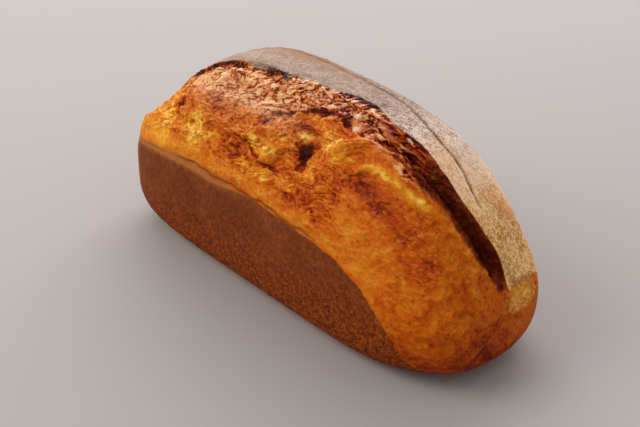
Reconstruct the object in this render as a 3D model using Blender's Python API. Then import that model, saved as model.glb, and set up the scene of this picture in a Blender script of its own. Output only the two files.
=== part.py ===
"""A tin loaf of spelt sourdough bread, cut along its top and burst open down its near side.

The loaf is one closed solid. It starts as a sphere whose poles are the loaf's ends. Each ring of
the sphere becomes a cross-section, and each line of points from pole to pole follows one line of
the crust: the lip of the cut, the foot of the torn wall, the ridge of the near half, the tin's rim.

Frame: metres, +Z up, +X along the loaf towards its lower end, -Y the side that burst open.
The origin is the middle of the flat base. Angles go round a cross-section in degrees: 0 is the
back wall, 90 the top, 180 the near wall and 270 the base.
"""

import math

import bmesh
import bpy
import numpy as np
from mathutils import Matrix, Vector, noise

# The whole loaf
LENGTH = 0.260
WIDTH = 0.1021
WIDEST_HEIGHT = 0.0414
WIDEST_HEIGHT_RIGHT = 0.033
TAPER_ALONG = 0.026
BASE_BELOW_FLOOR = 0.0010
CROWN_LEAN = 0.007

# Height of the crown along the loaf, as (share of the half length, height)
CROWN = ((-1.0, 0.082), (-0.6, 0.1085), (0.0, 0.1160), (0.3, 0.1172), (0.6, 0.1180), (0.8, 0.1070),
         (1.0, 0.089))

# Roundness as superellipse powers: 2 is an ellipse, and more is squarer
END_POWER_TOP_LEFT = 3.4
END_POWER_TOP_RIGHT = 2.0
END_POWER_BASE = 5.7
END_POWER_LEFT = 5.6
END_POWER_RIGHT = 4.3
SECTION_POWER_TOP = 2.13
SECTION_POWER_BASE = 5.4
SECTION_POWER_BASE_RIGHT = 2.5

# Lines along the crust, as (share of the half length, angle)
LIP_LINE = ((-1.0, 108), (-0.8, 106), (-0.4, 103), (0.0, 101), (0.5, 97), (0.7, 92.5), (0.82, 88),
            (0.94, 79), (1.0, 74))
RIDGE_LINE = ((-1.0, 152), (-0.5, 151), (0.0, 149), (0.2, 137), (0.45, 119), (0.73, 105), (0.94, 96),
              (1.0, 92))
RIM_ANGLE = 165
GROOVE_SPREAD = 8
RIDGE_CLEAR = 4

# A pair of shares of the half length is where something fades in or out along the loaf.
# The cut: its lip stands up and hangs over a torn wall and a groove, nearly shut at the left and
# gaping at the right
CUT_STARTS = (-0.97, -0.80)
CUT_ENDS = (0.885, 0.96)
CUT_GAPES = (0.38, 0.62)
CLOSED_SHARE = 0.28
LIP_LIFT = 0.0034
LIP_OVERHANG = 0.0034
LIP_REACH = 9
GROOVE_DEPTH = 0.0068
GROOVE_UNDERCUT = 0.0012
# How much of the overhang the crust behind the lip follows, and over how much of the lip's reach
FOLLOW_SHARE = 0.45
FOLLOW_REACH = 0.4
# From the lip (0) to the groove (1): where the lip's lift ends, where the wall falls, and the middle
# and reach of the overhang and of the undercut
LIFT_ENDS = 0.35
WALL_FALLS = (0.08, 0.75)
OVERHANG_PLACE = (0.13, 0.14)
UNDERCUT_PLACE = (0.45, 0.16)

# The ridge of the near half, and how far towards it the groove's front climbs
RIDGE_HEIGHT = 0.0018
RIDGE_REACH = 10
RIDGE_STARTS = (0.10, 0.35)
RIDGE_ENDS = (0.90, 0.98)
GROOVE_CLIMB = 0.75

# The torn crust between the cut and the near ridge: its edges in degrees from the lip and from the
# ridge, and how it calms down towards the right end
CRAG_HEIGHT = 0.0040
CRAG_LENGTH = 0.021
CRAG_WIDTH = 0.011
CRAG_LIMIT = 0.9
TORN_FROM_LIP = (1, 7)
TORN_TO_RIDGE = (-2, 7)
TORN_STARTS = (-0.98, -0.85)
TORN_CALMS = (0.50, 0.75)
TORN_CALM_SHARE = 0.75
TORN_ENDS = (0.86, 0.95)

# The slow unevenness of the risen dough, free of the tin between these angles, and on the two ends
# between these distances from the middle and heights
SWELL_HEIGHT = 0.0009
SWELL_SIZE = 0.034
SWELL_START = Vector((3.1, 0.4, 1.7))
FREE_AT_BACK = (-20, 30)
FREE_AT_FRONT = (160, 178)
END_SWELL_SHARE = 0.7
END_SWELL_FROM = (0.095, 0.125)
END_SWELL_ABOVE = (0.010, 0.025)

# The dough that hangs over the tin's rim, and the crease under it
RIM_BULGE = 0.0018
RIM_BULGE_RISE = 4.5
RIM_REACH = 5.0
RIM_CREASE = 0.0009
RIM_CREASE_DROP = 0.5
RIM_CREASE_REACH = 1.3
RIM_STARTS = (-0.92, -0.75)
RIM_ENDS = (0.30, 0.55)

# The relief dies away between these heights, so that the base stays flat
RELIEF_ABOVE = (0.004, 0.016)

# Single bumps and hollows: (x, angle, half length along x, half width across, height)
LUMPS = (
    (0.038, 122, 0.013, 0.012, 0.0030),
    (0.021, 128, 0.006, 0.005, 0.0016),
    (-0.075, 147, 0.016, 0.011, 0.0026),
    (-0.020, 138, 0.016, 0.011, 0.0020),
    (-0.119, 145, 0.010, 0.012, 0.0022),
    (0.095, 125, 0.030, 0.022, 0.0018),
)
HOLLOWS = (
    (0.019, 133, 0.0052, 0.0095, -0.0085),
    (-0.088, 136, 0.0045, 0.010, -0.0026),
    (-0.022, 150, 0.024, 0.0035, -0.0028),
    (0.004, 118, 0.020, 0.0045, -0.0020),
)

# The mesh: points round a ring, steps from end to end, and how much of their spacing is even
RING_POINTS = 88
STEPS = 66
EVEN_SPACING = 0.3
# Where the lines lie round a ring: base, back wall, lip, groove, ridge, rim, near wall, base
RING_PLACES = (0, 11, 32, 43, 58, 73, 76, 88)
LIP_PLACE, GROOVE_PLACE = RING_PLACES[2], RING_PLACES[3]

CRUST_COLOUR = (0.42, 0.19, 0.06, 1.0)
CRUST_ROUGHNESS = 0.6


def clear_scene():
    for item in list(bpy.data.objects):
        bpy.data.objects.remove(item)


def along(line, share):
    """The value of a line of (share, value) points at share, on a smooth curve through them."""
    places = [place for place, _ in line]
    values = [value for _, value in line]
    slopes = np.gradient(values, places)
    share = min(max(share, places[0]), places[-1])
    i = min(int(np.searchsorted(places, share, side="right")) - 1, len(places) - 2)
    span = places[i + 1] - places[i]
    t = (share - places[i]) / span
    start = (2 * t**3 - 3 * t**2 + 1) * values[i] + (t**3 - 2 * t**2 + t) * span * slopes[i]
    end = (3 * t**2 - 2 * t**3) * values[i + 1] + (t**3 - t**2) * span * slopes[i + 1]
    return start + end


def ramp(value, low, high):
    """A smooth step from 0 at low to 1 at high."""
    t = min(max((value - low) / (high - low), 0.0), 1.0)
    return t * t * (3 - 2 * t)


def between(share, starts, ends):
    """1 between two places along the loaf, fading in and out over the pairs of shares."""
    return ramp(share, *starts) * (1 - ramp(share, *ends))


def bell(distance, reach):
    return math.exp(-((distance / reach) ** 2))


def power_of(value, power):
    """A signed power, for superellipses."""
    return math.copysign(abs(value) ** power, value)


def rounding(share, power):
    return max(1 - abs(share) ** power, 0.0) ** (1 / power)


def crust_lines(share):
    """The angles of the lip, of the groove's foot and of the near ridge."""
    lip = along(LIP_LINE, share)
    foot = lip + GROOVE_SPREAD
    return lip, foot, max(along(RIDGE_LINE, share), foot + RIDGE_CLEAR)


def ring_angle(place, share):
    lip, foot, ridge = crust_lines(share)
    angles = (-90, 0, lip, foot, ridge, RIM_ANGLE, 180, 270)
    return float(np.interp(place, RING_PLACES, angles))


def section_power(above, share):
    if above:
        return SECTION_POWER_TOP
    return SECTION_POWER_BASE + (SECTION_POWER_BASE_RIGHT - SECTION_POWER_BASE) * ramp(share, 0.5, 1.0)


def smooth_point(corner):
    """A point of the sphere on the smooth loaf: (point, share of the half length, angle, place)."""
    even = 1 - 2 * math.acos(min(max(corner.x, -1), 1)) / math.pi
    share = EVEN_SPACING * even + (1 - EVEN_SPACING) * corner.x
    place = round(math.atan2(corner.y, -corner.z) / math.tau * RING_POINTS) % RING_POINTS
    angle = ring_angle(place, share)
    turn = math.radians(angle)
    above = math.sin(turn) > 0
    across_power = END_POWER_LEFT if share < 0 else END_POWER_RIGHT
    top_power = END_POWER_TOP_LEFT if share < 0 else END_POWER_TOP_RIGHT
    upright_size = rounding(share, top_power if above else END_POWER_BASE)
    round_off = 2 / section_power(above, share)
    middle = WIDEST_HEIGHT + (WIDEST_HEIGHT_RIGHT - WIDEST_HEIGHT) * ramp(share, 0.5, 1.0)
    half_height = along(CROWN, share) - middle if above else middle + BASE_BELOW_FLOOR
    half_width = WIDTH / 2 * (1 - TAPER_ALONG * share) * rounding(share, across_power)
    rise = half_height * upright_size * power_of(math.sin(turn), round_off)
    lean = CROWN_LEAN * upright_size * max(rise, 0) / (CROWN[2][1] - WIDEST_HEIGHT)
    y = half_width * power_of(math.cos(turn), round_off) + lean
    return Vector((share * LENGTH / 2, y, max(middle + rise, 0))), share, angle, place


def cut_relief(share, angle, place):
    """Heights and sideways shifts of the lip, the torn wall, the groove and the near ridge."""
    opening = CLOSED_SHARE + (1 - CLOSED_SHARE) * ramp(share, *CUT_GAPES)
    opening *= between(share, CUT_STARTS, CUT_ENDS)
    lip, foot, ridge = crust_lines(share)
    across = (place - LIP_PLACE) / (GROOVE_PLACE - LIP_PLACE)
    overhang_middle, overhang_reach = OVERHANG_PLACE
    undercut_middle, undercut_reach = UNDERCUT_PLACE
    height = shift = 0.0
    if across < 0:
        height += LIP_LIFT * opening * bell(angle - lip, LIP_REACH)
        shift += LIP_OVERHANG * FOLLOW_SHARE * opening * bell(angle - lip, LIP_REACH * FOLLOW_REACH)
    elif across <= 1:
        height += LIP_LIFT * opening * (1 - ramp(across, 0.0, LIFT_ENDS))
        height -= GROOVE_DEPTH * opening * ramp(across, *WALL_FALLS)
        shift += LIP_OVERHANG * opening * bell(across - overhang_middle, overhang_reach)
        shift -= GROOVE_UNDERCUT * opening * bell(across - undercut_middle, undercut_reach)
        shift += LIP_OVERHANG * FOLLOW_SHARE * opening * (1 - ramp(across, 0.0, overhang_middle))
    else:
        height -= GROOVE_DEPTH * opening * (1 - ramp(angle, foot, foot + GROOVE_CLIMB * (ridge - foot)))
        from_ridge = angle - along(RIDGE_LINE, share)
        height += RIDGE_HEIGHT * between(share, RIDGE_STARTS, RIDGE_ENDS) * bell(from_ridge, RIDGE_REACH)
    return height, shift


def crag_relief(point, share, angle):
    """The torn crust's ragged swells, longer along the loaf than across it."""
    torn = ramp(angle - along(LIP_LINE, share), *TORN_FROM_LIP)
    torn *= 1 - ramp(angle - along(RIDGE_LINE, share), *TORN_TO_RIDGE)
    torn *= between(share, TORN_STARTS, TORN_ENDS) * (1 - TORN_CALM_SHARE * ramp(share, *TORN_CALMS))
    where = Vector((point.x / CRAG_LENGTH, point.y / CRAG_WIDTH, point.z / CRAG_WIDTH))
    ragged = noise.ridged_multi_fractal(where, 0.9, 2.1, 3, 1.0, 1.6) - 1.0
    return CRAG_HEIGHT * torn * max(min(ragged, CRAG_LIMIT), -CRAG_LIMIT)


def swell_relief(point, angle):
    """The slow unevenness of the risen dough. The tin's wall and the base stay flat."""
    free = ramp(angle, *FREE_AT_BACK) * (1 - ramp(angle, *FREE_AT_FRONT))
    ends = END_SWELL_SHARE * ramp(abs(point.x), *END_SWELL_FROM) * ramp(point.z, *END_SWELL_ABOVE)
    return SWELL_HEIGHT * max(free, ends) * noise.noise(point / SWELL_SIZE + SWELL_START)


def rim_relief(share, angle):
    """The dough that hangs over the rim of the tin, and the crease under it."""
    bulge = RIM_BULGE * bell(angle - (RIM_ANGLE - RIM_BULGE_RISE), RIM_REACH)
    crease = RIM_CREASE * bell(angle - (RIM_ANGLE + RIM_CREASE_DROP), RIM_CREASE_REACH)
    return between(share, RIM_STARTS, RIM_ENDS) * (bulge - crease)


def spot_relief(point, angle, spots):
    """Lumps and hollows at their own places."""
    radius = WIDTH / 2
    height = 0.0
    for x, at_angle, half_length, half_width, rise in spots:
        away = math.radians(angle - at_angle) * radius
        height += rise * bell(math.hypot((point.x - x) / half_length, away / half_width), 1.0)
    return height


def sphere_along_x():
    """A sphere primitive with its poles on the X axis."""
    mesh = bmesh.new()
    turn = Matrix.Rotation(math.pi / 2, 4, "Y")
    bmesh.ops.create_uvsphere(mesh, u_segments=RING_POINTS, v_segments=STEPS, radius=1, matrix=turn)
    return mesh


def shape_loaf(mesh):
    """Moves the sphere's points onto the smooth loaf, then adds the relief along the surface's normals."""
    facts = {}
    for vertex in mesh.verts:
        point, share, angle, place = smooth_point(vertex.co)
        facts[vertex.index] = (share, angle, place)
        vertex.co = point
    mesh.normal_update()
    moved = []
    for vertex in mesh.verts:
        share, angle, place = facts[vertex.index]
        point = vertex.co
        height, shift = cut_relief(share, angle, place)
        height += crag_relief(point, share, angle)
        height += swell_relief(point, angle)
        height += rim_relief(share, angle)
        height += spot_relief(point, angle, LUMPS + HOLLOWS)
        height *= ramp(point.z, *RELIEF_ABOVE)
        towards_near = Vector((1, 0, 0)).cross(vertex.normal)
        moved.append(point + vertex.normal * height + towards_near * shift)
    for vertex, point in zip(mesh.verts, moved):
        vertex.co = point


def crust_material():
    material = bpy.data.materials.new("crust")
    material.use_nodes = True
    shader = material.node_tree.nodes["Principled BSDF"]
    shader.inputs["Base Color"].default_value = CRUST_COLOUR
    shader.inputs["Roughness"].default_value = CRUST_ROUGHNESS
    return material


def make_loaf():
    grid = sphere_along_x()
    grid.verts.index_update()
    shape_loaf(grid)
    bmesh.ops.recalc_face_normals(grid, faces=grid.faces)
    data = bpy.data.meshes.new("loaf")
    grid.to_mesh(data)
    grid.free()
    data.shade_smooth()
    data.materials.append(crust_material())
    loaf = bpy.data.objects.new("loaf", data)
    collection = bpy.data.collections.new("spelt_sourdough_loaf")
    bpy.context.scene.collection.children.link(collection)
    collection.objects.link(loaf)
    return loaf


clear_scene()
make_loaf()
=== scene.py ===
import math

import bpy
import numpy as np
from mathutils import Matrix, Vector


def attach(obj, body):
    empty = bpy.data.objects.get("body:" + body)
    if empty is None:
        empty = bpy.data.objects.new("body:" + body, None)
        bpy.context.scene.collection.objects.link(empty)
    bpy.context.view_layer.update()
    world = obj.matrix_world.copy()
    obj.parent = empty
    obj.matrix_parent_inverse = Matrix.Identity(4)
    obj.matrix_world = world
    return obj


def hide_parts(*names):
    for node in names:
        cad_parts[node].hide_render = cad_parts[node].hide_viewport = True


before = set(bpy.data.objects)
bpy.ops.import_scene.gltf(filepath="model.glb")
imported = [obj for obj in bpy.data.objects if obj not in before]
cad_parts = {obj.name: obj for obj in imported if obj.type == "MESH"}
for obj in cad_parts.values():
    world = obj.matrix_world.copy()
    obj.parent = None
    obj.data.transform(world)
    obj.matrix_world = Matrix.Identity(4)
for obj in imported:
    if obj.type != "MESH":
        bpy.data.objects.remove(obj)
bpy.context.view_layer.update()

# The studio: a plain pale floor, a big soft window behind the loaf and softer light from the left,
# seen from the place the photograph was taken from. None of it is part of the loaf.
FLOOR_SIZE = 8.0
FLOOR_COLOUR = (0.42, 0.397, 0.388, 1)
FLOOR_ROUGHNESS = 0.8
FLOOR_GLEAM = 0.1
CAMERA_TURN = 49.0
CAMERA_RISE = 30.0
CAMERA_DISTANCE = 0.708
CAMERA_LENS = 73.1
CAMERA_SENSOR_WIDTH = 36.0
CAMERA_SHIFT_X = -0.0106
CAMERA_SHIFT_Y = -0.0342
LOOK_AT = Vector((0.0, 0.0, 0.05))
ROOM_COLOUR = (1.0, 0.98, 0.96, 1)
ROOM_LIGHT = 0.56


def direction(turn, rise):
    """The unit vector towards a place at this turn (0 is -Y, 90 is +X) and rise, in degrees."""
    turn, rise = math.radians(turn), math.radians(rise)
    return Vector((math.sin(turn) * math.cos(rise), -math.cos(turn) * math.cos(rise), math.sin(rise)))


def deselect_all():
    for thing in list(bpy.context.selected_objects):
        thing.select_set(False)


def new_material(name):
    """A material and its Principled shader."""
    material = bpy.data.materials.new(name)
    material.use_nodes = True
    return material, material.node_tree.nodes["Principled BSDF"]


def soft_light(name, turn, rise, distance, size, power, colour):
    """A wide rectangular lamp that faces the loaf."""
    data = bpy.data.lights.new(name, "AREA")
    data.shape = "RECTANGLE"
    data.size, data.size_y = size
    data.energy = power
    data.color = colour
    light = bpy.data.objects.new(name, data)
    bpy.context.scene.collection.objects.link(light)
    towards = direction(turn, rise)
    light.location = LOOK_AT + towards * distance
    light.rotation_euler = towards.to_track_quat("Z", "Y").to_euler()


deselect_all()
bpy.ops.mesh.primitive_plane_add(size=FLOOR_SIZE, location=(0, 0, 0))
floor = bpy.context.active_object
floor.name = "floor"
floor_material, floor_shader = new_material("pale_floor")
floor_shader.inputs["Base Color"].default_value = FLOOR_COLOUR
floor_shader.inputs["Roughness"].default_value = FLOOR_ROUGHNESS
floor_shader.inputs["Specular IOR Level"].default_value = FLOOR_GLEAM
floor.data.materials.append(floor_material)

camera_data = bpy.data.cameras.new("camera")
camera_data.lens = CAMERA_LENS
camera_data.sensor_width = CAMERA_SENSOR_WIDTH
camera_data.shift_x = CAMERA_SHIFT_X
camera_data.shift_y = CAMERA_SHIFT_Y
camera = bpy.data.objects.new("camera", camera_data)
bpy.context.scene.collection.objects.link(camera)
to_camera = direction(CAMERA_TURN, CAMERA_RISE)
camera.location = LOOK_AT + to_camera * CAMERA_DISTANCE
camera.rotation_euler = to_camera.to_track_quat("Z", "Y").to_euler()
bpy.context.scene.camera = camera

soft_light("window", turn=224, rise=33, distance=1.5, size=(1.8, 1.1), power=23.0,
           colour=(1.0, 0.95, 0.97))
soft_light("left_fill", turn=-35, rise=40, distance=1.6, size=(1.0, 1.0), power=12.0,
           colour=(1.0, 0.97, 0.92))
world = bpy.data.worlds.new("studio")
bpy.context.scene.world = world
world.use_nodes = True
room = world.node_tree.nodes["Background"]
room.inputs["Color"].default_value = ROOM_COLOUR
room.inputs["Strength"].default_value = ROOM_LIGHT
bpy.context.scene.view_settings.view_transform = "Standard"

# The loaf: one piece of dough that rose over its tin, burst open above the rim and baked, crust all over.
# It is the CAD loaf made finer, with its crust torn, blistered and pored, and with one number per point
# for each kind of crust it has there.
MERGED_WITHIN = 0.00001
FINENESS = 3
TRIANGLES = 195000
LEAST_WEIGHT = 0.004

# Lines along the crust in plan, as (x, y) in millimetres: the cut's lip, the groove's front, the near
# ridge's edge, the edge of the floury skin, the front of the flaked crust and the thin seam in the skin
LIP = ((-130, -9), (-121, -12), (-98, -11.4), (-63, -8), (-22, -5.8), (22, -4.2), (63, -3.5), (82, -2.6),
       (98, 0), (111, 3.7), (122, 7.7), (130, 7))
GROOVE_FRONT = ((70, -14), (86, -15), (92, -13), (101, -10.5), (110, -9.5), (118, -5.5), (124, 0), (130, 3))
RIDGE = ((40, -30), (50, -27), (62, -24.5), (73, -22.5), (82, -20.5), (92, -17), (98, -13), (109, -9.5),
         (118, -4.5), (126, 2))
SKIN = ((-130, -9), (-98, -11.4), (-63, -8), (-45, -8), (-22, -3.5), (0, -2.5), (12, -1.5), (25, 2.5),
        (38, 3), (50, -1), (63, -2), (75, -1.5), (84, -1.6), (98, 0), (111, 3.7), (122, 7.7), (130, 7))
FLAKED = ((-115, -20), (-88, -25), (-55, -30), (-27, -29), (-15, -28), (-7, -19), (0, -15.5), (17, -13.5),
          (26, -11.5), (34, -13), (46, -17.5), (61, -19), (71, -19), (77, -21), (87, -17), (96, -12))
SEAM = ((-80, 20), (-20, 20), (20, 18.8), (43, 18.4), (55, 15.5), (63, 13), (75, 11), (85, 12.2),
        (93, 11.2), (104, 10))

# The lip's height, the edge of the tin-baked brown wall and the crevice under the pale lump, as (x, z)
LIP_HEIGHT = ((-130, 50), (-121, 68.5), (-98, 91), (-82, 102), (-63, 109), (-43, 113.5), (0, 115.6),
              (22, 115.3), (43, 113.4), (63, 110.8), (82, 102.4), (98, 87.7), (111, 72), (121.5, 55.5),
              (130, 38))
RIM = ((-130, 50), (-115, 54), (-95, 58), (-60, 61), (0, 61), (40, 59), (60, 56), (80, 48), (95, 34),
       (108, 15), (116, 0), (130, -20))
CREVICE = ((-36, 89), (-32, 87), (-27, 85.5), (-19.5, 81.5), (-10, 80.3), (1, 79.2), (8, 79))

# Where the bake is lighter or darker than round about: the middle and the reach along each axis in
# millimetres, and how much. First the dough, then the glossy flaked crust before the lip.
BAKE_PATCHES = (
    ((-94, -41, 72), (15, 14, 12), 0.19), ((-88, -32, 81), (3.5, 5, 9), -0.30),
    ((-60, -42, 80), (10, 9, 9), 0.28), ((-75, -42, 70), (8, 9, 4), -0.10),
    ((-32, -39, 82), (9, 5, 4), -0.09), ((-9, -37, 88), (18, 8, 7), 0.22),
    ((-28, -41, 79), (9, 6, 3.5), -0.13), ((0, -44, 76), (20, 8, 4), 0.12),
    ((14, -26, 97.5), (4, 5, 3), 0.45), ((13, -24, 102), (7, 3, 2.5), -0.28),
    ((17.5, -29, 90), (3.6, 7, 7), -0.50), ((35, -26, 103), (13, 6, 6), 0.28),
    ((27, -34, 86), (8, 6, 9), 0.10), ((64, -31, 91), (12, 6, 4), -0.13),
    ((79, -33, 85), (12, 5, 4), -0.15), ((72, -25, 97), (13, 3, 2.5), 0.09),
    ((49, -37, 87), (4, 5, 8), -0.15), ((62, -41, 74), (16, 7, 8), 0.14),
    ((82, -43, 62), (14, 8, 9), 0.09), ((95, -31, 78), (13, 6, 4), -0.18),
    ((108, -27, 67), (9, 6, 7), -0.12), ((91, -19, 89.5), (4, 2.2, 3), 0.32),
    ((-36, -47, 70), (26, 9, 6), -0.10), ((0, -34, 96), (14, 6, 4), 0.07),
    ((124, -12, 25), (10, 18, 14), -0.15), ((86, -21, 92), (4, 2, 3), 0.16),
    ((128, 14, 41), (8, 9, 7), 0.20), ((124.5, 3, 50), (2.2, 2.2, 2.2), -0.60),
    ((10, -20, 105), (10, 4, 4), 0.12), ((104, -30, 62), (12, 8, 16), -0.04))
FLAKE_PATCHES = (
    ((-40, -7.5, 113), (10, 3, 4), -0.34), ((-55, -15, 107), (7, 2, 3), -0.36),
    ((-60, -23.5, 100), (4, 2, 2), -0.26), ((-50, -23.5, 99), (4, 2, 2), -0.26),
    ((17, -1, 116), (6, 2.2, 3), -0.40), ((27, 0.5, 115), (8, 2.8, 3), -0.50),
    ((36, 1, 115), (7, 2.2, 3), -0.46), ((27, -11.5, 111), (5, 3, 3), -0.30),
    ((60, -2, 111), (9, 2.5, 3), -0.28), ((72, -1.5, 108), (8, 2.4, 3), -0.24),
    ((82, 0.5, 103), (6, 2, 3), -0.24), ((74, -6, 100), (9, 5, 6), -0.16),
    ((-96, -12, 90), (10, 1.6, 8), -0.30), ((-75, -10.0, 104), (14, 1.3, 5), -0.26))

# Places on the crust, each with its middle and reach: sharper crags of torn dough, small torn flakes with
# the white crumb side up, flour dust and painted sheen, the grainy lump at the end, a scorched spot, and ash
CRAG_PATCHES = (
    ((35, -26, 103), (18, 9, 9)), ((6, -21, 104), (10, 5, 6)), ((90, -20, 90), (8, 4, 5)),
    ((14, -28, 95), (12, 9, 9)), ((-12, -37, 88), (20, 8, 8)), ((-62, -40, 80), (16, 12, 12)),
    ((-90, -34, 80), (10, 10, 12)), ((60, -30, 96), (20, 7, 7)))
PALE_PATCHES = (
    ((38, -14.5, 108.5), (3.4, 2.0, 3)), ((34, -9.5, 111.5), (3.4, 1.2, 3)),
    ((68, -10.2, 104.5), (3.8, 1.6, 3)), ((66.5, -4.6, 109.7), (2.8, 0.9, 3)))
DUST_AND_SHEEN_LEFT = ((-62, -26, 99), (34, 13, 9))
DUST_AND_SHEEN_MIDDLE = ((-20, -27, 101), (28, 8, 7))
FLAKE_DUST_AND_SHEEN_PLACE = ((-6, -9, 113), (30, 8, 8))
END_LUMP = ((128, 17, 40), (11, 14, 9))
SCORCHED = ((103, 28, 74), (7, 7, 6))
ASHEN = ((-25, -8, 113), (6, 4.0, 3.5))


def make_active(piece):
    deselect_all()
    piece.select_set(True)
    bpy.context.view_layer.objects.active = piece


def apply_modifier(piece, kind, **settings):
    make_active(piece)
    modifier = piece.modifiers.new(kind.lower(), kind)
    for name, value in settings.items():
        setattr(modifier, name, value)
    bpy.ops.object.modifier_apply(modifier=modifier.name)


def point_table(piece, kind):
    """The x, y and z of each point's place or normal."""
    flat = np.zeros(len(piece.data.vertices) * 3)
    piece.data.vertices.foreach_get(kind, flat)
    return flat.reshape(-1, 3)


def keep_values(piece, name, values):
    """Stores one number per point under a name that materials can read."""
    layer = piece.data.attributes.new(name, "FLOAT", "POINT")
    layer.data.foreach_set("value", values.astype(np.float32))


def at(line, x):
    """The line's other coordinate, in metres, at each x in metres."""
    places, values = zip(*line)
    return np.interp(x * 1000, places, values) / 1000


def rise(value, low, high):
    """0 up to low, 1 from high on, smooth between."""
    share = np.clip((value - low) / (high - low), 0, 1)
    return share * share * (3 - 2 * share)


def fade(value, low, high):
    """1 up to low, 0 from high on, smooth between."""
    return 1 - rise(value, low, high)


def stretch(value, start, full, fading, end):
    """1 from full to fading, and smoothly down to 0 at start and end."""
    return rise(value, start, full) * fade(value, fading, end)


def bell(distance, reach):
    """1 on a line, falling away over the reach to both sides."""
    return np.exp(-((distance / reach) ** 2))


def patch(points, middle, reach):
    """1 at a place on the crust, falling away over the reach along each axis."""
    return np.exp(-(((points * 1000 - middle) / reach) ** 2).sum(axis=1))


def patches(points, places):
    """The strongest of several patches at each point."""
    return np.max([patch(points, middle, reach) for middle, reach in places], axis=0)


deselect_all()
loaf = bpy.data.objects.new("baked_loaf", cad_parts["loaf"].data.copy())
bpy.context.scene.collection.objects.link(loaf)
make_active(loaf)
bpy.ops.object.mode_set(mode="EDIT")
bpy.ops.mesh.select_all(action="SELECT")
bpy.ops.mesh.remove_doubles(threshold=MERGED_WITHIN)
bpy.ops.mesh.tris_convert_to_quads(face_threshold=math.pi, shape_threshold=math.pi)
bpy.ops.object.mode_set(mode="OBJECT")
loaf.data.materials.clear()
apply_modifier(loaf, "SUBSURF", levels=FINENESS, render_levels=FINENESS)
loaf.data.shade_smooth()

# Each point's place against the lines, in metres, and from it each point's share in the larger areas.
# The groove's wall, which stands under the lip at the right, counts as being before the lip and the skin.
smooth_points = point_table(loaf, "co")
x, y, z = smooth_points.T
from_lip = y - at(LIP, x)
from_skin = y - at(SKIN, x)
from_flaked = y - at(FLAKED, x)
from_ridge = y - at(RIDGE, x) + 0.001
under_lip = at(LIP_HEIGHT, x) - z
above_rim = z - at(RIM, x)
wavy = 0.0006 * np.sin(x * 210) + 0.0003 * np.sin(x * 560 + 1)
fold_height = 0.0475 - 0.12 * (y - 0.012) + 0.0009 * np.sin(y * 700) + 0.0006 * np.sin(y * 1900 + 1)
flaked_edge = 0.0020 + 0.0045 * fade(x, -0.010, 0.020)
off_base = rise(z, 0.002, 0.006)
band_share = fade(x, -0.045, -0.005) * (y < 0)
in_wall = rise(under_lip, 0.0004, 0.0012) * fade(from_lip, 0.0025, 0.0035)
in_wall *= stretch(x, 0.052, 0.066, 0.120, 0.124)
before_lip = np.maximum(fade(from_lip, -0.0010, -0.0002), in_wall)
before_skin = np.maximum(fade(from_skin, -0.0010, 0.0006), in_wall)
skin_share = rise(from_skin, -0.0010 - 0.0035 * bell(x + 0.012, 0.030), 0.0006) * (1 - in_wall)
beyond_fold = rise(x, 0.108, 0.116) * fade(z, fold_height - 0.0014, fold_height)
end_lump = patch(smooth_points, *END_LUMP)
burst = before_lip * rise(above_rim, 0.006, 0.014)
burst = burst * (1 - 0.75 * rise(x, 0.045, 0.090)) * fade(x, 0.09, 0.115)
burst *= 0.40 + 0.60 * rise(x, -0.114, -0.098)
burst = np.maximum(burst, end_lump)

# The kinds of crust that the colours read, and that the relief may read too
crusts = {
    "tin_wall": off_base * fade(above_rim + 0.0030 * band_share, -0.0015, 0.0010),
    "floury": skin_share * rise(above_rim, 0.000, 0.016) * (1 - beyond_fold),
    "burst": burst,
    "flaky": before_skin * rise(from_flaked, -0.0015 - flaked_edge, flaked_edge)
    * stretch(x, -0.115, -0.095, 0.088, 0.100) * rise(z, 0.075, 0.085),
    "belly": before_lip * rise(above_rim, 0.001, 0.006) * (1 - burst) * rise(z, 0.004, 0.030),
    "seam": bell(y - at(SEAM, x), 0.0009) * rise(z, 0.065, 0.075) * stretch(x, -0.10, -0.07, 0.096, 0.108),
    # The crease at the tin's rim gets painted shade in the colours below
    "crease": bell(above_rim - 0.0008 - wavy, 0.0009) * (y < 0) * stretch(x, -0.080, -0.060, 0.030, 0.055),
    "groove": rise(z, 0.030, 0.040) * before_skin * rise(y - at(GROOVE_FRONT, x), -0.0012, 0.0012)
    * stretch(x, 0.070, 0.088, 0.122, 0.127),
    # The fold at the right end gets a painted shadow under the skin's flap in the colours below
    "fold": bell(z - fold_height, 0.0013) * rise(x, 0.115, 0.119) * stretch(y, 0.010, 0.015, 0.022, 0.032),
    "band": off_base * stretch(above_rim, -0.0050, -0.0030, 0.0, 0.0010) * band_share,
    "back_rim": rise(y, 0.010, 0.030) * fade(above_rim, 0.010, 0.030) * (1 - end_lump),
    "pale": patches(smooth_points, PALE_PATCHES),
    # Flour dust with painted sheen on the upper torn dough and, nearer the lip, on the flake tops
    "dust_and_sheen": np.maximum(patch(smooth_points, *DUST_AND_SHEEN_LEFT), 0.8 * patch(smooth_points, *DUST_AND_SHEEN_MIDDLE)),
    "flake_dust_and_sheen": before_skin * patch(smooth_points, *FLAKE_DUST_AND_SHEEN_PLACE),
    "ash": before_skin * patch(smooth_points, *ASHEN),
    "scorch": patch(smooth_points, *SCORCHED),
    "end_lump": end_lump}
crusts["torn"] = burst * (1 - 0.70 * crusts["flaky"]) * (1 - 0.5 * rise(x, 0.026, 0.050)) * (1 - end_lump)
crusts["sheen"] = (before_skin * (0.55 + 0.45 * rise(x, -0.050, -0.015)) * rise(z, 0.086, 0.098)
                   * rise(from_flaked, -0.004, 0.004) * (1 - 0.70 * rise(x, 0.025, 0.060))
                   * fade(x, 0.062, 0.080) * (1 - crusts["groove"])
                   * (1 - 0.8 * bell(from_skin + 0.0005, 0.0030)))
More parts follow.
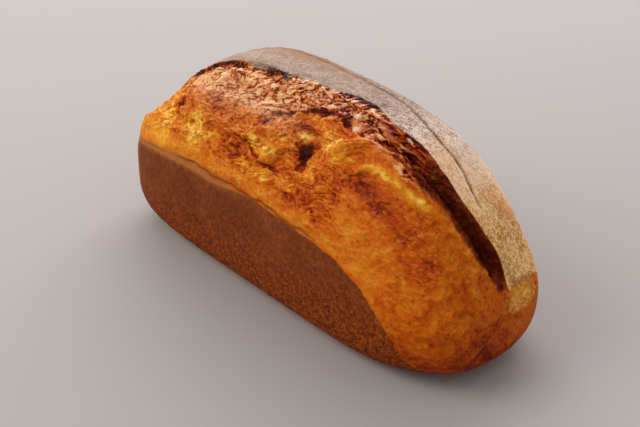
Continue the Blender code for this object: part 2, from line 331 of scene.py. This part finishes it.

# Small forms that the relief reads: the flakes, the lip's rough edge, the near ridge, the step before
# the flakes, the crevice and the crags; the step and the crevice also give painted shade, and the ridge
# darkens the flakes
forms = {
    "flakes_across": crusts["flaky"] * fade(x, 0.030, 0.055),
    "flakes_along": crusts["flaky"] * rise(x, 0.030, 0.055) * rise(from_flaked, 0.000, 0.006),
    "lip_edge": bell(from_skin + 0.0014, 0.0022) * stretch(x, -0.105, -0.085, 0.060, 0.080)
    * rise(z, 0.080, 0.090),
    "ridge": rise(z, 0.030, 0.040) * bell(from_ridge, 0.0024) * stretch(x, 0.035, 0.055, 0.105, 0.122),
    "step": bell(from_flaked + 0.0014, 0.0016) * stretch(x, -0.022, -0.012, 0.030, 0.040)
    * rise(z, 0.085, 0.090),
    "crevice": bell(z - at(CREVICE, x) - wavy, 0.0007) * stretch(x, -0.037, -0.029, -0.001, 0.008)
    * (y < -0.025),
    "crags": patches(smooth_points, CRAG_PATCHES) * before_lip}

# How light or dark the dough and the flakes are: baked lighter just over the tin's rim and darker along the
# lip at the left, with a painted highlight on the ridge and painted shade towards the right end's foot, in
# the step and the crevice
bake_and_painted_light = 0.10 * bell(above_rim - 0.007, 0.0045) * (y < 0.01) * fade(x, 0.03, 0.10)
bake_and_painted_light -= 0.05 * rise(x, -0.09, 0.06)
# A painted highlight along the near ridge's edge
bake_and_painted_light += 0.20 * bell(from_ridge, 0.0018) * stretch(x, 0.040, 0.060, 0.090, 0.104)
bake_and_painted_light += 0.08 * bell(above_rim - 0.0035, 0.0025) * (y < 0) * stretch(x, 0.000, 0.030, 0.085, 0.105)
bake_and_painted_light += 0.06 + 0.04 * fade(x, 0.020, 0.070)
# Painted shade towards the right end's foot, near the floor
bake_and_painted_light -= 0.20 * fade(z, 0.004, 0.036) * rise(x, 0.06, 0.10)
# A painted shadow in the step before the flakes and painted shade in the crevice
bake_and_painted_light -= 0.24 * forms["step"]
bake_and_painted_light -= 0.15 * forms["crevice"]
for middle, reach, amount in BAKE_PATCHES:
    bake_and_painted_light += amount * patch(smooth_points, middle, reach)
flake_bake = 0.245 + 0.05 * fade(x, -0.050, -0.020) - 0.05 * rise(x, -0.045, 0.010)
flake_bake -= 0.22 * rise(x, 0.028, 0.055)
flake_bake -= 0.12 * forms["ridge"]
flake_bake -= 0.22 * bell(from_lip + 0.0006, 0.0013) * fade(x, -0.070, -0.045)
for middle, reach, amount in FLAKE_PATCHES:
    flake_bake += amount * patch(smooth_points, middle, reach)

keep_values(loaf, "bake_and_painted_light", bake_and_painted_light)
keep_values(loaf, "flake_bake", flake_bake)
for name, share in crusts.items():
    keep_values(loaf, name, share)
shares = {**crusts, **forms}


def cut_layers(pattern, teeth, low=0.22, high=0.78, start=0.18, end=0.97):
    """Cuts a pattern into layers with steep edges, like flakes that lie over each other."""
    pattern.use_color_ramp = True
    steps = pattern.color_ramp.elements
    steps[0].position, steps[0].color = 0.0, (0, 0, 0, 1)
    steps[1].position, steps[1].color = 1.0, (0, 0, 0, 1)
    width = (high - low) / teeth
    for tooth in range(teeth):
        steps.new(low + width * (tooth + start)).color = (1, 1, 1, 1)
        steps.new(low + width * (tooth + end)).color = (0, 0, 0, 1)


def clouds(depth, hard=False, teeth=0):
    """Rounded lumps, or hard-edged ones, or lumps cut into layers."""
    pattern = bpy.data.textures.new("clouds", "CLOUDS")
    pattern.noise_scale = 1.0
    pattern.noise_depth = depth
    if hard:
        pattern.noise_type = "HARD_NOISE"
    if teeth:
        cut_layers(pattern, teeth)
    return pattern


def ridges(octaves):
    """Sharp-edged ridges, like those of torn dough."""
    pattern = bpy.data.textures.new("ridges", "MUSGRAVE")
    pattern.musgrave_type = "RIDGED_MULTIFRACTAL"
    pattern.noise_scale = 1.0
    pattern.octaves = octaves
    pattern.gain = 2.0
    pattern.offset = 0.9
    pattern.noise_intensity = 0.6
    return pattern


def weight_group(piece, name):
    """The vertex group that holds the points' shares in an area, made when it is first asked for."""
    if name not in piece.vertex_groups:
        group = piece.vertex_groups.new(name=name)
        for index in np.flatnonzero(shares[name] > LEAST_WEIGHT):
            group.add([int(index)], float(shares[name][index]), "REPLACE")
    return name


def press(piece, area, height, pattern=None, grain=None, turn=0.0, middle=0.5):
    """Moves an area's points along their normals, all alike or by a pattern of this grain size and turn."""
    group = weight_group(piece, area)
    if pattern is None:
        apply_modifier(piece, "DISPLACE", vertex_group=group, strength=height, mid_level=0.0)
        return
    space = bpy.data.objects.new("grain", None)
    bpy.context.scene.collection.objects.link(space)
    space.scale = grain
    space.rotation_euler = (0, 0, math.radians(turn))
    bpy.context.view_layer.update()
    apply_modifier(piece, "DISPLACE", vertex_group=group, strength=height, mid_level=middle, texture=pattern,
                   texture_coords="OBJECT", texture_coords_object=space)
    bpy.data.objects.remove(space)


# The torn dough and the flakes
press(loaf, "burst", 0.0026, ridges(4.0), (0.015, 0.009, 0.009), middle=0.45)
press(loaf, "torn", 0.0014, clouds(3, hard=True), (0.0044, 0.0030, 0.0030), middle=0.6)
press(loaf, "crags", 0.0024, ridges(3.0), (0.009, 0.006, 0.006))
press(loaf, "torn", 0.0009, clouds(1, teeth=4), (0.018, 0.008, 0.008), turn=30)
press(loaf, "flakes_across", 0.0011, clouds(2, teeth=4), (0.019, 0.0075, 0.0075), turn=52)
press(loaf, "flakes_across", 0.0007, clouds(3), (0.0075, 0.0035, 0.0035), turn=45)
press(loaf, "flakes_along", 0.0015, clouds(2, teeth=4), (0.028, 0.010, 0.010), turn=8)
press(loaf, "flakes_along", 0.0007, clouds(1), (0.010, 0.004, 0.004), turn=-6)
press(loaf, "lip_edge", 0.0022, clouds(2), (0.007, 0.005, 0.005), middle=0.62)

# The smoother orange side, the ridge and the groove
press(loaf, "belly", 0.0013, ridges(3.0), (0.012, 0.006, 0.006), turn=20)
press(loaf, "belly", 0.0010, clouds(3), (0.006, 0.004, 0.004))
press(loaf, "ridge", 0.0010)
press(loaf, "ridge", 0.0016, clouds(2), (0.005, 0.0035, 0.0035))
press(loaf, "belly", 0.0005, clouds(1, hard=True), (0.0035, 0.0025, 0.0025))
press(loaf, "groove", 0.0010, clouds(2), (0.006, 0.003, 0.003))

# The thin creases, the lump at the end, the tin-baked wall and the floury skin
press(loaf, "seam", -0.0011)
press(loaf, "step", -0.0011)
press(loaf, "crevice", -0.0006)
press(loaf, "crease", -0.0009)
press(loaf, "fold", -0.0010)
press(loaf, "end_lump", 0.0016, clouds(3, hard=True), (0.005, 0.005, 0.004), middle=0.6)
press(loaf, "tin_wall", 0.0005, clouds(3), (0.004, 0.004, 0.004))
press(loaf, "floury", 0.0010, clouds(2), (0.013, 0.010, 0.010))
press(loaf, "floury", 0.0007, clouds(3), (0.004, 0.003, 0.003))

# How far each point came out of the smooth loaf, as 0.5 plus a quarter for each millimetre, which the colours
# use for painted shade in hollows, and how much each point is overhung by its neighbours, for painted shade
# in the slits between flakes
RAISED_PER_METRE = 250
SLIT_STARTS = 0.00022
SLIT_FULL = 0.00050
SLIT_SPREAD = 0.4
moved = point_table(loaf, "co") - smooth_points
raised = np.einsum("ij,ij->i", moved, point_table(loaf, "normal"))
keep_values(loaf, "raised", np.clip(0.5 + raised * RAISED_PER_METRE, 0, 1))
ends = np.zeros(len(loaf.data.edges) * 2, dtype=np.int32)
loaf.data.edges.foreach_get("vertices", ends)
first, second = ends.reshape(-1, 2).T
climb = raised[second] - raised[first]
overhung = np.zeros(len(raised))
np.maximum.at(overhung, first, climb)
np.maximum.at(overhung, second, -climb)
overhung = rise(overhung, SLIT_STARTS, SLIT_FULL)
slit_shade = overhung.copy()
np.maximum.at(slit_shade, first, SLIT_SPREAD * overhung[second])
np.maximum.at(slit_shade, second, SLIT_SPREAD * overhung[first])
keep_values(loaf, "slit_shade", slit_shade)

apply_modifier(loaf, "DECIMATE", ratio=TRIANGLES / (len(loaf.data.polygons) * 2))
loaf.data.shade_smooth()

# Tones of each kind of crust from dark to light, each with its place on the scale. The flour's and the
# specks' run along the loaf instead, to the golden right end.
BAKED_TONES = (
    (0.30, (0.060, 0.005, 0.001)), (0.42, (0.22, 0.022, 0.001)), (0.50, (0.45, 0.060, 0.001)),
    (0.60, (0.61, 0.132, 0.003)), (0.72, (0.72, 0.24, 0.012)), (0.82, (0.88, 0.43, 0.038)),
    (0.95, (0.97, 0.64, 0.15)))
FLAKE_TONES = (
    (0.26, (0.045, 0.004, 0.001)), (0.40, (0.20, 0.012, 0.002)), (0.52, (0.42, 0.048, 0.003)),
    (0.66, (0.65, 0.175, 0.018)), (0.82, (0.82, 0.45, 0.18)))
GROOVE_TONES = ((0.36, (0.030, 0.004, 0.002)), (0.50, (0.12, 0.013, 0.003)), (0.64, (0.27, 0.042, 0.006)))
BACK_RIM_TONES = ((0.35, (0.20, 0.065, 0.018)), (0.65, (0.42, 0.20, 0.08)))
SMOOTH_TIN_TONES = ((0.36, (0.110, 0.023, 0.005)), (0.50, (0.20, 0.044, 0.009)), (0.64, (0.30, 0.080, 0.018)))
PORED_TIN_TONES = ((0.41, (0.060, 0.007, 0.001)), (0.54, (0.20, 0.030, 0.003)), (0.69, (0.43, 0.10, 0.010)))
END_LUMP_TONES = ((0.40, (0.42, 0.12, 0.015)), (0.56, (0.80, 0.34, 0.050)), (0.70, (0.96, 0.54, 0.14)))
ASH_TONES = ((0.40, (0.030, 0.022, 0.020)), (0.62, (0.26, 0.22, 0.20)))
FLOUR_TONES = (
    (0.50, (0.50, 0.37, 0.30)), (0.72, (0.54, 0.41, 0.34)), (0.86, (0.83, 0.66, 0.55)),
    (0.92, (0.98, 0.70, 0.47)), (0.965, (1.0, 0.68, 0.38)), (0.99, (0.98, 0.60, 0.25)))
SPECK_TONES = (
    (0.50, (0.32, 0.21, 0.155)), (0.72, (0.25, 0.16, 0.115)), (0.86, (0.36, 0.22, 0.15)),
    (0.92, (0.74, 0.40, 0.21)), (0.965, (0.72, 0.33, 0.11)), (0.99, (0.44, 0.18, 0.04)))
# Painted highlight on blister edges, flour dust and pale dust with painted sheen, painted light on the tin's
# left end, and painted shade in the crease and under the fold; the rest are the crust's own colours
BLISTER_HIGHLIGHT = (0.88, 0.45, 0.11)
DUST_AND_SHEEN = (0.90, 0.57, 0.34)
FLAKE_DUST_AND_SHEEN = (0.92, 0.70, 0.58)
TIN_END_LIGHT = (0.42, 0.16, 0.05)
BROWNER_SKIN = (0.34, 0.19, 0.085)
SEAM_BROWN = (0.13, 0.046, 0.016)
BAND_BROWN = (0.36, 0.13, 0.035)
CREASE_SHADE = (0.20, 0.055, 0.006)
FOLD_SHADOW = (0.22, 0.050, 0.006)
TORN_CRUMB = (0.72, 0.52, 0.38)
GLOSS_ROUGHNESS = 0.22
PLAIN_GLEAM = 0.08
BUMP_DEPTH = 0.0007
BUMP_STRENGTH = 0.6


class Wiring:
    """Adds and joins one material's nodes. A value can be a number, a colour or another node's output."""

    def __init__(self, tree):
        self.nodes = tree.nodes
        self.links = tree.links

    def put(self, socket, value):
        if isinstance(value, bpy.types.NodeSocket):
            self.links.new(value, socket)
        else:
            socket.default_value = value

    def attribute(self, name):
        node = self.nodes.new("ShaderNodeAttribute")
        node.attribute_name = name
        return node.outputs["Fac"]

    def place(self, scale=(1, 1, 1), turn=0.0):
        """The place on the loaf, drawn out along the axes and turned by degrees."""
        coordinates = self.nodes.new("ShaderNodeTexCoord")
        mapping = self.nodes.new("ShaderNodeMapping")
        mapping.vector_type = "TEXTURE"
        mapping.inputs["Scale"].default_value = scale
        mapping.inputs["Rotation"].default_value = (0, 0, math.radians(turn))
        self.links.new(coordinates.outputs["Object"], mapping.inputs["Vector"])
        return mapping.outputs["Vector"]

    def axes(self, place):
        node = self.nodes.new("ShaderNodeSeparateXYZ")
        self.links.new(place, node.inputs["Vector"])
        return node.outputs["X"], node.outputs["Y"], node.outputs["Z"]

    def bent(self, place, size, reach):
        """The place pushed about, up to the reach in metres, by noise of this size in millimetres."""
        noise = self.nodes.new("ShaderNodeTexNoise")
        self.links.new(place, noise.inputs["Vector"])
        noise.inputs["Scale"].default_value = 1000 / size
        node = self.nodes.new("ShaderNodeVectorMath")
        node.operation = "MULTIPLY_ADD"
        self.links.new(noise.outputs["Color"], node.inputs[0])
        node.inputs[1].default_value = (reach, reach, reach)
        self.links.new(place, node.inputs[2])
        return node.outputs[0]

    def noise(self, place, size, detail=3.0, roughness=0.55, distortion=0.0):
        """Noise whose largest forms are about this many millimetres across."""
        node = self.nodes.new("ShaderNodeTexNoise")
        self.links.new(place, node.inputs["Vector"])
        node.inputs["Scale"].default_value = 1000 / size
        node.inputs["Detail"].default_value = detail
        node.inputs["Roughness"].default_value = roughness
        node.inputs["Distortion"].default_value = distortion
        return node.outputs["Fac"]

    def cells(self, place, size):
        """The distance from the middle of cells of this size in millimetres."""
        node = self.nodes.new("ShaderNodeTexVoronoi")
        node.feature = "F1"
        self.links.new(place, node.inputs["Vector"])
        node.inputs["Scale"].default_value = 1000 / size
        return node.outputs["Distance"]

    def calculate(self, operation, first, second, third=0.0):
        node = self.nodes.new("ShaderNodeMath")
        node.operation = operation
        for socket, value in zip(node.inputs, (first, second, third)):
            self.put(socket, value)
        return node.outputs["Value"]

    def times(self, first, second):
        return self.calculate("MULTIPLY", first, second)

    def less(self, first, second):
        return self.calculate("SUBTRACT", first, second)

    def weighed(self, *pairs, start=0.0):
        """start plus each value times its weight."""
        total = start
        for value, weight in pairs:
            total = self.calculate("MULTIPLY_ADD", value, weight, total)
        return total

    def rise(self, value, low, high):
        """0 below low, 1 above high, smooth between; the other way round when low is the larger."""
        node = self.nodes.new("ShaderNodeMapRange")
        node.interpolation_type = "SMOOTHSTEP"
        self.put(node.inputs["Value"], value)
        falling = low > high
        node.inputs["From Min"].default_value = min(low, high)
        node.inputs["From Max"].default_value = max(low, high)
        node.inputs["To Min"].default_value = 1.0 if falling else 0.0
        node.inputs["To Max"].default_value = 0.0 if falling else 1.0
        return node.outputs["Result"]

    def tones(self, value, stops):
        """The colour at this value on a scale of tones."""
        node = self.nodes.new("ShaderNodeValToRGB")
        elements = node.color_ramp.elements
        while len(elements) < len(stops):
            elements.new(0.5)
        for element, (position, colour) in zip(elements, stops):
            element.position = position
            element.color = (*colour, 1)
        self.put(node.inputs["Fac"], value)
        return node.outputs["Color"]

    def blend(self, factor, first, second):
        """The first colour, giving way to the second as the factor goes from 0 to 1."""
        node = self.nodes.new("ShaderNodeMix")
        node.data_type = "RGBA"
        self.put(node.inputs[0], factor)
        for socket, value in ((node.inputs[6], first), (node.inputs[7], second)):
            self.put(socket, (*value, 1) if isinstance(value, tuple) else value)
        return node.outputs[2]


crust, shader = new_material("crust")
loaf.data.materials.append(crust)
wiring = Wiring(crust.node_tree)
place = wiring.place()
along, across, up = wiring.axes(place)
broad = wiring.noise(wiring.place((1.6, 1, 1)), 20, 3, 0.6, 0.5)
medium = wiring.noise(wiring.place((1.7, 1, 1)), 7, 5, 0.66, 0.6)
fine = wiring.noise(place, 2.4, 4, 0.65, 0.3)
grain = wiring.noise(place, 0.9, 3, 0.6)
strands = wiring.noise(wiring.place((2.4, 1, 1), 25), 2.6, 2, 0.5, 1.6)
mottled = wiring.weighed((medium, 0.5), (fine, 0.5))
mottled_more = wiring.weighed((medium, 0.6), (fine, 0.4))
tin_wall = wiring.attribute("tin_wall")
floury = wiring.attribute("floury")
groove = wiring.attribute("groove")
flaky = wiring.attribute("flaky")
torn = wiring.attribute("torn")
raised_by = wiring.attribute("raised")
slit_shade = wiring.times(wiring.attribute("slit_shade"), wiring.rise(mottled_more, 0.38, 0.50))

# Baked dough, from burnt red-brown through orange to straw, with small burnt pores, painted shade in hollows
# and slits and painted highlights on blister edges
bake_and_painted_light_tone = wiring.weighed((broad, 0.36), (medium, 0.56), (fine, 0.42),
                       (wiring.calculate("MAXIMUM", strands, 0.44), 0.30),
                       (wiring.attribute("bake_and_painted_light"), 1.0), (raised_by, 0.24), start=-0.355)
calmed = wiring.times(wiring.less(bake_and_painted_light_tone, 0.56), wiring.less(1.0, torn))
pores = wiring.times(wiring.rise(wiring.cells(wiring.bent(place, 3.0, 0.003), 4.2), 0.26, 0.08),
                     wiring.rise(medium, 0.62, 0.40))
burst_slit_shade = wiring.times(slit_shade, wiring.attribute("burst"))
bake_and_painted_light_tone = wiring.weighed((calmed, -0.36), (pores, -0.12), (burst_slit_shade, -0.16), start=bake_and_painted_light_tone)
colour = wiring.tones(bake_and_painted_light_tone, BAKED_TONES)
# Painted highlights on the blisters' edges, on the higher part of the side
blister_highlights = wiring.times(wiring.attribute("belly"),
                        wiring.rise(wiring.weighed((strands, 0.7), (fine, 0.3)), 0.54, 0.64))
blister_highlights = wiring.times(blister_highlights, wiring.rise(up, 0.030, 0.075))
colour = wiring.blend(wiring.times(blister_highlights, 0.20), colour, BLISTER_HIGHLIGHT)

# Flaked glossy crust: dark red to golden on the flakes, lighter on raised ones, and painted shade nearly
# black between them
flakes_aslant = wiring.noise(wiring.place((2.6, 1, 1), 60), 3.0, 4, 0.65, 0.4)
flakes_along = wiring.noise(wiring.place((2.2, 1, 1), 15), 2.6, 3, 0.6, 0.5)
streaks = wiring.times(wiring.less(flakes_along, 0.5), wiring.rise(along, -0.01, 0.03))
flake_tone = wiring.weighed((medium, 0.35), (flakes_aslant, 0.45), (raised_by, 0.38), (slit_shade, -0.56),
                            (wiring.attribute("flake_bake"), 1.0), (streaks, 0.9), start=0.10)
flaky_edge = wiring.times(flaky, wiring.rise(wiring.weighed((flaky, 1.0), (broad, 0.9)), 0.75, 1.15))
colour = wiring.blend(flaky_edge, colour, wiring.tones(flake_tone, FLAKE_TONES))

# The back's tin-baked rim, flour dust and pale dust on the flake tops, both with painted sheen, and the
# groove's dark wall
colour = wiring.blend(wiring.times(wiring.attribute("back_rim"), 0.75), colour,
                      wiring.tones(mottled, BACK_RIM_TONES))
dust_and_sheen_share = wiring.times(wiring.attribute("dust_and_sheen"),
                      wiring.rise(wiring.weighed((fine, 0.45), (strands, 0.55)), 0.40, 0.58))
colour = wiring.blend(wiring.times(dust_and_sheen_share, 0.42), colour, DUST_AND_SHEEN)
flake_dust_and_sheen_share = wiring.times(wiring.attribute("flake_dust_and_sheen"),
                       wiring.rise(wiring.weighed((fine, 0.4), (strands, 0.6), (slit_shade, -0.5)), 0.43, 0.53))
colour = wiring.blend(wiring.times(flake_dust_and_sheen_share, 0.90), colour, FLAKE_DUST_AND_SHEEN)
colour = wiring.blend(groove, colour, wiring.tones(mottled_more, GROOVE_TONES))

# Tin-baked wall: smooth brown at the top, pored orange-brown further down, painted light on the front of the
# left end
height = wiring.weighed((up, 1.0), (along, -0.10), (broad, 0.030), (fine, 0.020))
low_down = wiring.rise(height, 0.078, 0.032)
smooth_tone = wiring.weighed((fine, 0.45), (broad, 0.30), (grain, 0.25))
pored_tone = wiring.weighed((fine, 0.6), (grain, 0.65), start=-0.075)
tin_colour = wiring.blend(low_down, wiring.tones(smooth_tone, SMOOTH_TIN_TONES),
                          wiring.tones(pored_tone, PORED_TIN_TONES))
# Painted light where the left lamp falls on the front of the left end
lit_end = wiring.times(wiring.rise(along, -0.110, -0.126), wiring.rise(across, -0.010, -0.040))
lit_end = wiring.times(lit_end, wiring.weighed((fine, 0.9), start=0.15))
tin_colour = wiring.blend(lit_end, tin_colour, TIN_END_LIGHT)
tin_edge = wiring.rise(wiring.weighed((tin_wall, 1.0), (fine, 0.3)), 0.45, 0.80)
colour = wiring.blend(tin_edge, colour, tin_colour)

# Floury skin: beige with brown specks, more golden towards the right end and browner near the back's top
skin_along = wiring.rise(wiring.weighed((along, 1.0), (broad, 0.03)), -0.115, 0.145)
speckle = wiring.weighed((skin_along, -0.06), (broad, 0.22), (medium, 0.26), (fine, 0.42), (grain, 0.60),
                         (wiring.attribute("scorch"), 0.09))
flour_colour = wiring.blend(wiring.rise(speckle, 0.63, 0.79), wiring.tones(skin_along, FLOUR_TONES),
                            wiring.tones(skin_along, SPECK_TONES))
back_top = wiring.times(wiring.rise(across, 0.004, 0.018), wiring.rise(along, 0.04, -0.05))
high_up = wiring.weighed((up, 10.0), (broad, 0.5), (fine, 0.3))
back_top = wiring.times(back_top, wiring.rise(high_up, 1.10, 1.50))
flour_colour = wiring.blend(wiring.times(back_top, 0.8), flour_colour, BROWNER_SKIN)
ragged = wiring.weighed((floury, 1.0), (wiring.less(mottled, 0.5), 1.4))
colour = wiring.blend(wiring.rise(ragged, 0.30, 0.62), colour, flour_colour)

# The thin lines, with painted shade in the crease and under the fold, then the small spots: the lump at the
# end, the torn crumb and the ash
seam_share = wiring.times(wiring.attribute("seam"),
                          wiring.weighed((wiring.rise(medium, 0.30, 0.60), 0.4), start=0.6))
colour = wiring.blend(seam_share, colour, SEAM_BROWN)
lines = (("band", 0.8, BAND_BROWN), ("crease", 0.9, CREASE_SHADE), ("fold", 0.8, FOLD_SHADOW))
for name, share, line_colour in lines:
    colour = wiring.blend(wiring.times(wiring.attribute(name), share), colour, line_colour)
lump_share = wiring.weighed((wiring.attribute("end_lump"), 0.9), (fine, 0.5), (grain, 0.6))
colour = wiring.blend(wiring.rise(lump_share, 0.85, 1.30), colour, wiring.tones(pored_tone, END_LUMP_TONES))
crumb_share = wiring.weighed((wiring.attribute("pale"), 0.9), (fine, 0.6), (grain, 0.7))
colour = wiring.blend(wiring.rise(crumb_share, 1.00, 1.35), colour, TORN_CRUMB)
ash_share = wiring.weighed((wiring.attribute("ash"), 1.0), (strands, 1.6), (grain, 0.5))
# The ash is darker in the slits, as painted shade
ash_tone = wiring.weighed((fine, 0.6), (slit_shade, -0.3), (grain, 0.4))
colour = wiring.blend(wiring.rise(ash_share, 1.60, 1.80), colour, wiring.tones(ash_tone, ASH_TONES))
wiring.put(shader.inputs["Base Color"], colour)

# Matt flour, a glossy coat on the flakes and on the highest torn dough, and the finest grain
rough = wiring.weighed((floury, 0.30), (flaky, -0.12), (tin_wall, 0.14), (fine, 0.15), (groove, 0.40),
                       start=0.46)
wiring.put(shader.inputs["Roughness"], rough)
glossy = wiring.times(wiring.rise(mottled, 0.36, 0.52), wiring.rise(slit_shade, 0.8, 0.2))
glossy = wiring.times(glossy, wiring.rise(flake_tone, 0.30, 0.46))
shine = wiring.times(wiring.times(wiring.attribute("sheen"), flaky_edge), glossy)
torn_shine = wiring.times(torn, wiring.rise(bake_and_painted_light_tone, 0.50, 0.66))
torn_shine = wiring.times(torn_shine, wiring.rise(strands, 0.42, 0.55))
wiring.put(shader.inputs["Coat Weight"], wiring.weighed((shine, 1.0), (torn_shine, 0.16)))
shader.inputs["Coat Roughness"].default_value = GLOSS_ROUGHNESS
shader.inputs["Specular IOR Level"].default_value = PLAIN_GLEAM
bump = crust.node_tree.nodes.new("ShaderNodeBump")
bump.inputs["Distance"].default_value = BUMP_DEPTH
bump.inputs["Strength"].default_value = BUMP_STRENGTH
floury_grain = wiring.times(grain, floury)
wiring.put(bump.inputs["Height"], wiring.weighed((fine, 0.9), (grain, 0.5), (floury_grain, 0.7)))
wiring.put(shader.inputs["Normal"], bump.outputs["Normal"])

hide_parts("loaf")
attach(loaf, "root")
